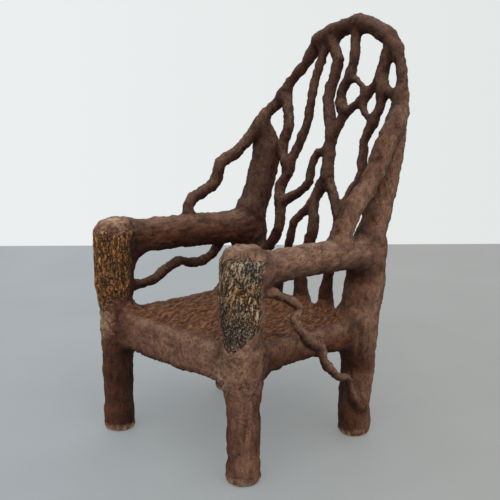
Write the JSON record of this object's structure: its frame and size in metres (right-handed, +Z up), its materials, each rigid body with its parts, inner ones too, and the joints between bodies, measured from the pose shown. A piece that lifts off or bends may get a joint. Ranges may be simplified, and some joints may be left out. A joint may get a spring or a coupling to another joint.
{
  "type": "faux bois armchair",
  "caption": "Rustic cement armchair shaped as branches: log arm posts with bark, grained seat and a tall leaning back of interlaced twigs, for garden or terrace.",
  "frame": {"origin": "on the floor, under the middle of the chair's outline", "axes": "+Z up, the chair faces -Y, +X to the right as seen from its front"},
  "size_m": [0.656, 0.8894, 1.2421],
  "materials": {
    "tinted_cement": "matte gritty red-brown cement, worn paler on the edges",
    "ochre_grain_cement": "matte ochre cement, combed as wood grain",
    "bark_cement": "matte cement, furrowed as bark",
    "mild_steel": "bare hot-rolled bar, buried in the cement"
  },
  "bodies": {
    "root": {"front_left_leg": "tinted_cement", "rear_left_leg": "tinted_cement", "front_right_leg": "tinted_cement", "rear_right_leg": "tinted_cement", "left_arm_post": "tinted_cement", "right_arm_post": "tinted_cement", "left_back_post": "tinted_cement", "right_back_post": "tinted_cement", "left_apron": "tinted_cement", "right_apron": "tinted_cement", "left_arm_rail": "tinted_cement", "right_arm_rail": "tinted_cement", "front_apron": "tinted_cement", "rear_apron": "tinted_cement", "seat_slab": "tinted_cement", "crest_arch": "tinted_cement", "left_brace": "tinted_cement", "right_brace": "tinted_cement", "left_hoop_limb": "tinted_cement", "centre_stem": "tinted_cement", "left_stem": "tinted_cement", "left_outer_branch": "tinted_cement", "left_inner_branch": "tinted_cement", "centre_branch": "tinted_cement", "lower_right_fork": "tinted_cement", "lower_left_fork": "tinted_cement", "right_branch": "tinted_cement", "upper_cross_twig": "tinted_cement", "upper_right_twig": "tinted_cement", "lower_right_twig": "tinted_cement", "right_hoop_twig": "tinted_cement", "lower_left_twig": "tinted_cement", "lower_cross_twig": "tinted_cement", "left_vine": "tinted_cement", "right_vine": "tinted_cement", "seat_face": "ochre_grain_cement", "left_bark_shell": "bark_cement", "right_bark_shell": "bark_cement", "front_left_leg_rod": "mild_steel", "rear_left_leg_rod": "mild_steel", "front_right_leg_rod": "mild_steel", "rear_right_leg_rod": "mild_steel", "left_arm_rod": "mild_steel", "right_arm_rod": "mild_steel", "crest_rod": "mild_steel", "seat_grid": "mild_steel"}
  },
  "joints": []
}
